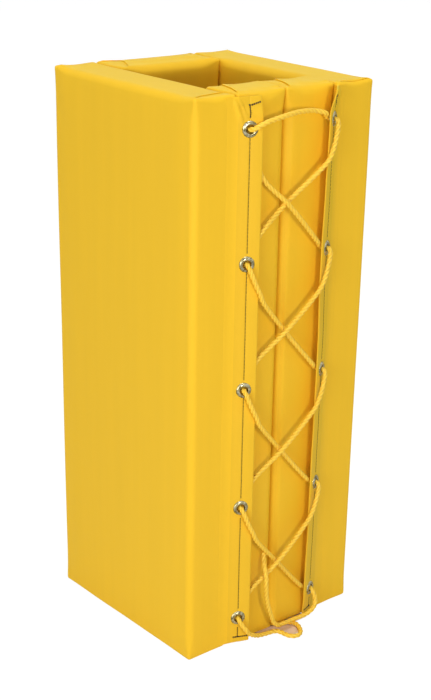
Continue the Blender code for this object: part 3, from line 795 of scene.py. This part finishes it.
def rope():
    """The laced rope, every second point of its middle line, and its length."""
    line, length = smooth_line(rope_route(), 40, RING_STEP)
    tangents = np.gradient(line, axis=0)
    tangents /= np.linalg.norm(tangents, axis=1)[:, None]
    normal = Vector((0, 0, 1)).cross(Vector(tangents[0])).normalized()
    points, groove, across, lengthwise = [], [], [], []
    count = len(line)
    for n in range(count):
        tangent = Vector(tangents[n])
        normal = (normal - tangent * normal.dot(tangent)).normalized()
        binormal = tangent.cross(normal)
        place = Vector(line[n])
        distance = length * n / (count - 1)
        turn = 2 * pi * distance / LAY_LENGTH
        from_end = min(distance, length - distance)
        closing = min(1.0, (1 - (1 - min(1.0, from_end / 0.003)) ** 2) ** 0.5 + 0.04)
        for m in range(RING_POINTS):
            angle = 2 * pi * m / RING_POINTS
            radius = lobed_radius(angle) * closing
            direction = normal * cos(angle + turn) + binormal * sin(angle + turn)
            points.append(place + direction * radius)
            groove.append(1 - (radius / closing - GROOVE_RADIUS) / (ROPE_RADIUS - GROOVE_RADIUS))
            across.append(3 * m / RING_POINTS)
            lengthwise.append(distance / LAY_LENGTH * 3)
    faces = tube_faces(count, RING_POINTS)
    faces.append(tuple(range(RING_POINTS))[::-1])
    last = (count - 1) * RING_POINTS
    faces.append(tuple(range(last, last + RING_POINTS)))
    made = mesh_object("laced_rope", points, faces, rope_yellow)
    mesh = made.data
    # each point's depth between the strands, where the rope's material paints shade
    attribute = mesh.attributes.new("groove", "FLOAT", "POINT")
    attribute.data.foreach_set("value", np.clip(groove, 0, 1).astype(np.float32))
    layer = mesh.uv_layers.new(name="lay")
    indices = np.empty(len(mesh.loops), dtype=np.int32)
    mesh.loops.foreach_get("vertex_index", indices)
    uv = np.stack([np.array(across)[indices], np.array(lengthwise)[indices]], axis=1)
    layer.data.foreach_set("uv", uv.astype(np.float32).ravel())
    path = [tuple(p) for p in line[::2]]
    if len(line) % 2 == 0:
        path.append(tuple(line[-1]))
    return made, path, length


rope_mesh, rope_path, rope_length = rope()
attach(rope_mesh, "root")
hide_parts("lacing_rope")

# Folds at the ends of the slabs
INWARD = {"front": (0, 1), "back": (0, -1), "left": (1, 0), "right": (-1, 0)}
# slab, end, how far the ply reaches, line of the folded edge in plan
FOLDS = (
    ("left_pad", "front", 1.0, (
        (-0.1762, -0.1608), (-0.1715, -0.1570), (-0.1620, -0.1516), (-0.1480, -0.1456), (-0.1339, -0.1428),
        (-0.1181, -0.1415), (-0.1040, -0.1415),
    )),
    ("left_pad", "back", 1.0, (
        (-0.1752, 0.1890), (-0.1640, 0.1795), (-0.1500, 0.1715), (-0.1300, 0.1665), (-0.1040, 0.1645),
    )),
    ("right_pad", "front", 1.0, (
        (0.1762, -0.1576), (0.1640, -0.1577), (0.1500, -0.1575), (0.1360, -0.1571), (0.1220, -0.1565),
        (0.1070, -0.1550),
    )),
    ("right_pad", "back", 1.0, (
        (0.1752, 0.1885), (0.1600, 0.1785), (0.1450, 0.1715), (0.1250, 0.1665), (0.1040, 0.1645),
    )),
    ("back_pad", "left", 1.0, (
        (-0.0955, 0.1900), (-0.0860, 0.1855), (-0.0720, 0.1825), (-0.0680, 0.1655), (-0.0730, 0.1455),
        (-0.0840, 0.1235), (-0.0900, 0.1185),
    )),
    ("back_pad", "right", 1.0, (
        (0.0945, 0.1885), (0.0860, 0.1815), (0.0760, 0.1675), (0.0740, 0.1485), (0.0800, 0.1305),
        (0.0930, 0.1195),
    )),
    ("front_left_pad", "left", 0.8, (
        (-0.0713, -0.0885), (-0.0745, -0.0980), (-0.0777, -0.1088), (-0.0812, -0.1200), (-0.0847, -0.1306),
        (-0.0885, -0.1420), (-0.0926, -0.1530), (-0.0945, -0.1580),
    )),
    ("front_left_pad", "right", 0.55, (
        (-0.0042, -0.0890), (-0.0040, -0.1050), (-0.0044, -0.1230), (-0.0056, -0.1400), (-0.0085, -0.1510),
    )),
    ("front_right_pad", "left", 0.8, (
        (0.0330, -0.0885), (0.0289, -0.1005), (0.0251, -0.1125), (0.0212, -0.1246), (0.0160, -0.1380),
        (0.0110, -0.1500), (0.0085, -0.1560),
    )),
    ("front_right_pad", "right", 0.55, (
        (0.0970, -0.0890), (0.0971, -0.1050), (0.0966, -0.1230), (0.0950, -0.1390), (0.0915, -0.1520),
    )),
)
for carrier, end, reach, line in FOLDS:
    rise = FOLD_RISE * (1.5 if carrier.startswith("front") else 1)
    top_fold(f"{carrier}_{end}_fold", slabs[carrier], line, INWARD[end], rise, reach)

# Lacing flaps
LEAD_IN = 0.0200
HUG_END = -0.0130
TURN_BLEND = 0.0050
SHEET = 0.0011
LEAD_STATIONS = (
    -LEAD_IN, -0.0185, -0.0165, -0.0145, -0.0125, -0.0105, -0.0085, -0.0065, -0.0045, -0.0025, -0.0005,
    0.0015, 0.0035, 0.0055, 0.0075,
)
LACED_STATIONS = (
    0.0100, 0.0130, 0.0155, 0.0178, 0.0191, 0.0199, 0.0205, 0.0211, 0.0219, 0.0235, 0.0265, 0.0300, 0.0330,
    0.0360, 0.0385,
)
BACK_STATIONS = (0.0385, 0.0345, 0.0300, 0.0250, 0.0215, 0.0205, 0.0195, 0.0160, 0.0110, 0.0070, 0.0040)
TONGUE = (
    (0.0012, -0.0012), (0.0009, -0.0070), (0.0005, -0.0130), (-0.0006, -0.0130), (-0.0009, -0.0080),
    (-0.0016, -0.0050),
)
# folds gathered into the flap's top corner: place along, height below the top, slope, width, rise
GATHERS = (
    (-0.0050, 0.008, 0.40, 0.0030, 0.0042),
    (0.0015, 0.006, 0.50, 0.0023, 0.0036),
    (0.0080, 0.005, 0.56, 0.0021, 0.0022),
)
GATHER_LENGTH = 0.060
GATHER_SHARES = {LEFT: 1.0, RIGHT: 0.5}
FLAP_ROWS = 300
HOLE_RADIUS = 0.0071
HOLE_DEPTH = 0.0100
HOLE_STEPS = 32


def smooth_max(a, b, blend):
    overlap = max(blend - abs(a - b), 0.0) / blend
    return max(a, b) + overlap * overlap * blend / 4


def to_grommet(along, z):
    """The distance from a place on a flap to its nearest grommet's middle."""
    return min(hypot(along - GROMMET_INSET, z - grommet_height(row)) for row in range(GROMMET_COUNT))


def slab_front(tree, side, along, z):
    """How far forward the slab's front stands at that place, from the front plane."""
    start = Vector((side * (HINGE_X - along), FRONT_Y - 0.05, min(z, HEIGHT - 0.006)))
    hit = tree.ray_cast(start, Vector((0, 1, 0)), 0.09)[0]
    return FRONT_Y - hit.y if hit else -0.004


def flap_shift(side, along, z):
    """How far the flap's cloth stands off its plane: slow waves, and folds gathered into its top corner."""
    between = sin(pi * (z - grommet_height(GROMMET_COUNT - 1)) / GROMMET_PITCH) ** 2
    free = max(0.0, min(1.0, along / 0.030))
    move = 0.0016 * between * noise.noise(Vector((side * 3.0, z * 9, 1.0))) * free
    for start, drop, slope, width, rise in GATHERS:
        below = HEIGHT - drop - z
        across = (along - start - max(below, 0.0) * slope) / width
        fade = max(0.0, min(1.0, below / 0.012 + 0.33)) * max(0.0, 1 - max(below, 0.0) / GATHER_LENGTH) ** 0.7
        move += GATHER_SHARES[side] * rise * fade * np.exp(-(across**2))
    return move * min(1.0, max(0.0, (to_grommet(along, z) - 0.012) / 0.008))


def cloth_lift(side, z):
    """The flap's lift with its changes of twist softened."""
    return sum(flap_lift(side, z + d) for d in (-0.008, -0.004, 0.0, 0.004, 0.008)) / 5


def flap_section(side, tree, z, thin):
    """The folded flap's outline at that height, from above, as (towards the middle, forward) pairs."""
    lift = cloth_lift(side, z)
    run = np.array([cos(lift), sin(lift)])
    face = np.array([-sin(lift), cos(lift)])
    half = FLAP_HALF * thin
    hug = slab_front(tree, side, HUG_END, z)
    lead = []
    for u in LEAD_STATIONS:
        carried = slab_front(tree, side, u, z) if u < HUG_END else hug
        rise = 0.0006 * ease((u + LEAD_IN) / 0.005) - 0.0004
        line = u * tan(lift) + half / cos(lift)
        spot = np.array([u, smooth_max(carried + rise, line, TURN_BLEND)])
        lead.append(spot + face * flap_shift(side, u, z) * ease((u + 0.016) / 0.010))
    laced = []
    for along in LACED_STATIONS:
        groove = 0.0005 * np.exp(-(((along - GROMMET_INSET) / 0.0011) ** 2))
        belly = 0.0003 * sin(pi * max(0.0, (along - GROMMET_INSET) / GROMMET_INSET))
        laced.append(run * along + face * (half - groove + belly + flap_shift(side, along, z)))
    edge = []
    shift = flap_shift(side, FLAP_WIDTH, z)
    for angle in (60, 30, 0, -30, -60):
        a = radians(angle)
        edge.append(run * (FLAP_WIDTH - FLAP_HALF + FLAP_HALF * cos(a)) + face * (half * sin(a) + shift))
    back = [run * along + face * (flap_shift(side, along, z) - half) for along in BACK_STATIONS]
    back += [np.array(p) for p in TONGUE]
    back += [spot - (0, SHEET) for spot in lead[:8][::-1]]
    return lead + laced + edge + back


def flap(side, slab_piece):
    tree = BVHTree.FromObject(slab_piece, bpy.context.evaluated_depsgraph_get())
    name = f"{SIDE_NAMES[side]}_lacing_flap"
    bottom, top = FLAP_END_MARGIN, HEIGHT - FLAP_END_MARGIN
    heights = [bottom, bottom + 0.0006, bottom + 0.0018]
    heights += list(np.linspace(bottom + 0.004, top - 0.004, FLAP_ROWS))
    heights += [top - 0.0018, top - 0.0006, top]
    points = []
    for z in heights:
        end = min(z - bottom, top - z)
        thin = 1 - 0.35 * max(0.0, 1 - end / 0.0018) ** 2
        points += [(side * (HINGE_X - u), FRONT_Y - v, z) for u, v in flap_section(side, tree, z, thin)]
    width = len(points) // len(heights)
    made = mesh_object(name + "_cloth", points, tube_faces(len(heights), width), flap_vinyl_painted_darker)
    bm = bmesh.new()
    bm.from_mesh(made.data)
    bm.verts.ensure_lookup_table()
    for start in (0, (len(heights) - 1) * width):
        bm.faces.new([bm.verts[start + m] for m in range(width)])
    bmesh.ops.triangulate(bm, faces=[f for f in bm.faces if len(f.verts) > 4])
    bmesh.ops.recalc_face_normals(bm, faces=bm.faces)
    for face in bm.faces:
        # the lead-in beside the slab takes the slab's vinyl, the rest of the flap the darker copy with its
        # painted shade
        face.material_index = int(abs(face.calc_center_median().x) > HINGE_X - 0.002)
    made.data.materials.append(vinyl)
    bm.to_mesh(made.data)
    bm.free()
    made.data.shade_smooth()
    made.data.set_sharp_from_angle(angle=radians(50))
    return made


def punch_holes(obj, side):
    """Round holes for the grommets' barrels."""
    bm = bmesh.new()
    for row in range(GROMMET_COUNT):
        bmesh.ops.create_cone(
            bm,
            cap_ends=True,
            segments=HOLE_STEPS,
            radius1=HOLE_RADIUS,
            radius2=HOLE_RADIUS,
            depth=HOLE_DEPTH,
            matrix=grommet_matrix(side, row),
        )
    mesh = bpy.data.meshes.new("holes")
    bm.to_mesh(mesh)
    bm.free()
    cutter = bpy.data.objects.new("holes", mesh)
    scene.collection.objects.link(cutter)
    boolean = obj.modifiers.new("holes", "BOOLEAN")
    boolean.operation = "DIFFERENCE"
    boolean.solver = "EXACT"
    boolean.object = cutter
    finished_mesh(obj)
    obj.data.set_sharp_from_angle(angle=radians(50))
    bpy.data.objects.remove(cutter, do_unlink=True)


def grommet_matrix(side, row):
    """Local +Z runs out of the laced face and local +X along the flap."""
    along, out = flap_directions(side, grommet_height(row))
    up = out.cross(along)
    turn = Matrix((along, up, out)).transposed()
    return Matrix.Translation(flap_point(side, GROMMET_INSET, 0, grommet_height(row))) @ turn.to_4x4()


for side in (LEFT, RIGHT):
    made = flap(side, slabs[f"{SIDE_NAMES[side]}_pad"])
    punch_holes(made, side)
    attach(made, "root")
    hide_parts(f"{SIDE_NAMES[side]}_lacing_flap")

# Grommets
EYELET_PROFILE = [
    (0.00600, -0.0030), (0.00600, 0.0012), (0.00602, 0.0021), (0.00625, 0.0029), (0.00680, 0.00345),
    (0.00770, 0.0037), (0.00870, 0.00372), (0.00970, 0.00355), (0.01070, 0.0031), (0.01155, 0.00245),
    (0.01215, 0.00180), (0.01245, 0.00140), (0.01250, 0.00122), (0.01235, 0.00115), (0.00690, 0.00115),
    (0.00670, 0.0009), (0.00670, -0.0026), (0.00690, -0.0029), (0.00880, -0.0029), (0.00925, -0.0032),
    (0.00920, -0.0038), (0.00850, -0.0041), (0.00700, -0.0041), (0.00630, -0.0037),
]
WASHER_PROFILE = [
    (0.00705, -0.0015), (0.01180, -0.0015), (0.01200, -0.0017), (0.01200, -0.0021), (0.01180, -0.0025),
    (0.00705, -0.0025),
]
TURNED_STEPS = 48


def turned(name, profile, matrix):
    """A turned nickel ring with that (radius, height) profile."""
    points = []
    for step in range(TURNED_STEPS):
        a = 2 * pi * step / TURNED_STEPS
        points += [matrix @ Vector((r * cos(a), r * sin(a), h)) for r, h in profile]
    width = len(profile)
    faces = []
    for step in range(TURNED_STEPS):
        following = (step + 1) % TURNED_STEPS
        for m in range(width):
            k = (m + 1) % width
            faces.append((step * width + m, following * width + m, following * width + k, step * width + k))
    made = mesh_object(name, points, faces, nickel)
    face_outward(made)
    made.data.set_sharp_from_angle(angle=radians(55))
    return made


for side in (LEFT, RIGHT):
    for row in range(GROMMET_COUNT):
        node = f"{SIDE_NAMES[side]}_grommet_{row + 1}"
        matrix = grommet_matrix(side, row)
        eyelet = turned(f"{node}_eyelet", EYELET_PROFILE, matrix)
        washer = turned(f"{node}_back_washer", WASHER_PROFILE, matrix)
        for piece, stood in ((eyelet, node), (washer, f"{node}_washer")):
            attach(piece, "root")
            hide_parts(stood)

# Stitching
STITCH_PITCH = 0.0058
BAR_PITCH = 0.0034
SEAM_THREADS = {LEFT: 0.00055, RIGHT: 0.00036}
BAR_THREAD = 0.00075
BAR_GAP = 0.0011
STITCH_HALF = 0.47
GROMMET_CLEAR = 0.0152
THREAD_RINGS = 7
THREAD_SIDES = 8
DARK, OLIVE = 0, 1
SEAM_FOOT, DARK_FOOT, DARK_TOP, SEAM_TOP = 0.0150, 0.0330, 0.8800, 0.8988
# the bars across each flap's top and foot, as (along, height) pairs
BARS = {
    LEFT: (
        ((0.0175, 0.8990), (0.0225, 0.8986)),
        ((0.0225, 0.8986), (0.0385, 0.9026)),
        ((0.0120, 0.0150), (0.0385, 0.0140)),
    ),
    RIGHT: (((0.0175, 0.8990), (0.0390, 0.9005)), ((0.0170, 0.0150), (0.0385, 0.0150))),
}


def cloth_point(side, along, out, z):
    """A point of the flap's cloth, which twists and ruffles about the flap's plane."""
    lift = cloth_lift(side, z)
    off = out + flap_shift(side, along, z)
    forward = along * sin(lift) + off * cos(lift)
    return Vector((side * (HINGE_X - along * cos(lift) + off * sin(lift)), FRONT_Y - forward, z))


def stitches(name, side, lines):
    """Short threads along lines on the laced face: (along, z), (along, z), pitch, thread radius, tone."""
    points, faces, tones = [], [], []
    for (along_a, z_a), (along_b, z_b), pitch, thickness, tone in lines:
        distance = hypot(along_b - along_a, z_b - z_a)
        count = max(1, round(distance / pitch))
        for i in range(count):
            centre = (i + 0.5) / count
            half = STITCH_HALF * pitch / distance
            rings = []
            for share in np.linspace(centre - half, centre + half, THREAD_RINGS):
                rings.append((along_a + (along_b - along_a) * share, z_a + (z_b - z_a) * share))
            middle = rings[THREAD_RINGS // 2]
            if to_grommet(*middle) < GROMMET_CLEAR:
                continue
            out = flap_directions(side, middle[1])[1]
            start, end = (cloth_point(side, along, 0, z) for along, z in (rings[0], rings[-1]))
            sideways = (end - start).normalized().cross(out)
            base = len(points)
            for n, (along, z) in enumerate(rings):
                bow = sin(pi * n / (THREAD_RINGS - 1))
                place = cloth_point(side, along, FLAP_HALF - 0.0003 + 0.0006 * bow, z)
                radius = thickness * (0.55 + 0.45 * min(1.0, bow * 2))
                for m in range(THREAD_SIDES):
                    a = 2 * pi * m / THREAD_SIDES
                    points.append(place + sideways * cos(a) * radius + out * sin(a) * radius)
            tube = tube_faces(THREAD_RINGS, THREAD_SIDES, base)
            tube.append(tuple(range(base, base + THREAD_SIDES))[::-1])
            tube.append(tuple(range(len(points) - THREAD_SIDES, len(points))))
            faces += tube
            tones += [tone] * len(tube)
    made = mesh_object(name, points, faces, thread)
    made.data.materials.append(olive_thread)
    made.data.polygons.foreach_set("material_index", tones)
    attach(made, "root")


for side, bars in BARS.items():
    seam = SEAM_THREADS[side]
    lines = [
        ((GROMMET_INSET, SEAM_TOP), (GROMMET_INSET, DARK_TOP), BAR_PITCH, seam * 1.5, DARK),
        ((GROMMET_INSET, DARK_TOP), (GROMMET_INSET, DARK_FOOT), STITCH_PITCH, seam, OLIVE),
        ((GROMMET_INSET, DARK_FOOT), (GROMMET_INSET, SEAM_FOOT), BAR_PITCH, seam * 1.1, DARK),
    ]
    for (a, start), (b, end) in bars:
        lines += [((a, start + drop), (b, end + drop), BAR_PITCH, BAR_THREAD, DARK) for drop in (0, -BAR_GAP)]
    stitches(f"{SIDE_NAMES[side]}_flap_stitching", side, lines)

# Hinge webs in the joints
for side in (LEFT, RIGHT):
    for place in ("back", "front"):
        node = f"{SIDE_NAMES[side]}_{place}_hinge_web"
        low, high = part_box(node)
        points, faces = box_lattice(low, high, (0.01, 0.006, 0.012), (0.0, 0.0003, 0.0010))
        points = filleted(points, np.array(low), np.array(high), np.full(len(points), 0.0009))
        made = mesh_object(f"{node}_cloth", points, faces, web_vinyl)
        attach(made, "root")
        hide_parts(node)

# Floor, light and camera
FLOOR_GREY = (0.75, 0.75, 0.75)
# painted bounce light: the floor's warm colour beside the pad's feet and inside the bow
PAINTED_BOUNCE_WARMTH = (0.82, 0.64, 0.48)
WORLD_LIGHT = 0.34


def floor_patch(tree, ground, x_span, x_soft, y_span, y_soft):
    """1 on a patch of the floor, its depth measured from the pad's front."""
    across = span_mask(tree, ground.outputs["X"], *x_span, x_soft)
    deep = span_mask(tree, ground.outputs["Y"], FRONT_Y + y_span[0], FRONT_Y + y_span[1], y_soft)
    return math_node(tree, "MULTIPLY", across, deep)


floor_mesh = bpy.data.meshes.new("floor")
floor_mesh.from_pydata([(-30, -30, 0), (30, -30, 0), (30, 30, 0), (-30, 30, 0)], [], [(0, 1, 2, 3)])
floor = bpy.data.objects.new("floor", floor_mesh)
scene.collection.objects.link(floor)
floor.location.z = -0.0002
floor_white, tree, shader = new_material("pale_floor", FLOOR_GREY, 0.9, specular=0.1)
glow = tree.nodes.new("ShaderNodeEmission")
glow.inputs["Strength"].default_value = 1.15
mix = tree.nodes.new("ShaderNodeMixShader")
seen = tree.nodes.new("ShaderNodeLightPath")
ground = tree.nodes.new("ShaderNodeSeparateXYZ")
tree.links.new(coordinates(tree), ground.inputs[0])
# Near the pad's feet and inside the bow the floor drops its glow to show its real shading, and its colour is
# painted warm there as painted bounce light from the yellow pad and rope.
at_feet = floor_patch(tree, ground, (-0.038, 0.069), 0.004, (-0.013, 0.030), 0.004)
in_bow = floor_patch(tree, ground, (0.000, 0.034), 0.001, (-0.043, -0.010), 0.003)
real_shade_and_painted_warmth = math_node(tree, "MAXIMUM", at_feet, in_bow)
bleached = spread_value(tree, real_shade_and_painted_warmth, 0.83, 0.0)
tree.links.new(math_node(tree, "MULTIPLY", seen.outputs["Is Camera Ray"], bleached), mix.inputs["Fac"])
tree.links.new(ramp(tree, real_shade_and_painted_warmth, [(0.0, FLOOR_GREY), (1.0, PAINTED_BOUNCE_WARMTH)]), shader.inputs["Base Color"])
tree.links.new(shader.outputs["BSDF"], mix.inputs[1])
tree.links.new(glow.outputs["Emission"], mix.inputs[2])
tree.links.new(mix.outputs["Shader"], tree.nodes["Material Output"].inputs["Surface"])
floor_mesh.materials.append(floor_white)

world = bpy.data.worlds.new("studio")
scene.world = world
world.use_nodes = True
tree = world.node_tree
back = tree.nodes["Background"]
back.inputs["Color"].default_value = (1, 1, 1, 1)
rays = tree.nodes.new("ShaderNodeLightPath")
visible = math_node(tree, "MAXIMUM", rays.outputs["Is Camera Ray"], rays.outputs["Is Glossy Ray"])
through = math_node(tree, "MAXIMUM", visible, rays.outputs["Is Transmission Ray"])
tree.links.new(spread_value(tree, through, WORLD_LIGHT, 1.0), back.inputs["Strength"])

TARGET = Vector((0.0, 0.0, 0.50))


def area_light(name, azimuth, reach, height, size, irradiance):
    """A square lamp that gives that share of full light on a surface facing it."""
    a = radians(azimuth)
    place = Vector((sin(a) * reach, -cos(a) * reach, height))
    away = place - TARGET
    data = bpy.data.lights.new(name, "AREA")
    data.shape = "SQUARE"
    data.size = size
    data.energy = irradiance * pi * pi * away.length_squared
    lamp = bpy.data.objects.new(name, data)
    lamp.location = place
    lamp.rotation_mode = "QUATERNION"
    lamp.rotation_quaternion = (-away).to_track_quat("-Z", "Y")
    scene.collection.objects.link(lamp)


area_light("key", -20, 2.0, 1.02, 0.24, 0.265)
area_light("left_fill", -66, 4.0, 1.15, 2.2, 0.345)
area_light("top_fill", -40, 0.25, 5.0, 1.4, 0.48)

CAMERA_PLACE = Vector((-1.4170, -1.7123, 1.2591))
YAW, PITCH, ROLL = radians(42.3947), radians(21.850), radians(2.0107)
FOCAL_PIXELS = 1407.79
PRINCIPAL = (277.105, 400.799)
IMAGE = (431, 700)
ahead = Vector((sin(YAW) * cos(PITCH), cos(YAW) * cos(PITCH), -sin(PITCH)))
level = ahead.cross(Vector((0, 0, 1))).normalized()
upward = level.cross(ahead)
right = level * cos(ROLL) + upward * sin(ROLL)
up = upward * cos(ROLL) - level * sin(ROLL)
camera_data = bpy.data.cameras.new("camera")
camera = bpy.data.objects.new("camera", camera_data)
scene.collection.objects.link(camera)
turn = Matrix((right, up, -ahead)).transposed()
camera.matrix_world = Matrix.Translation(CAMERA_PLACE) @ turn.to_4x4()
camera_data.sensor_width = 36
camera_data.lens = FOCAL_PIXELS * camera_data.sensor_width / IMAGE[1]
camera_data.shift_x = (IMAGE[0] / 2 - PRINCIPAL[0]) / IMAGE[1]
camera_data.shift_y = (PRINCIPAL[1] - IMAGE[1] / 2) / IMAGE[1]
camera_data.clip_end = 200
scene.camera = camera
scene.view_settings.view_transform = "Standard"
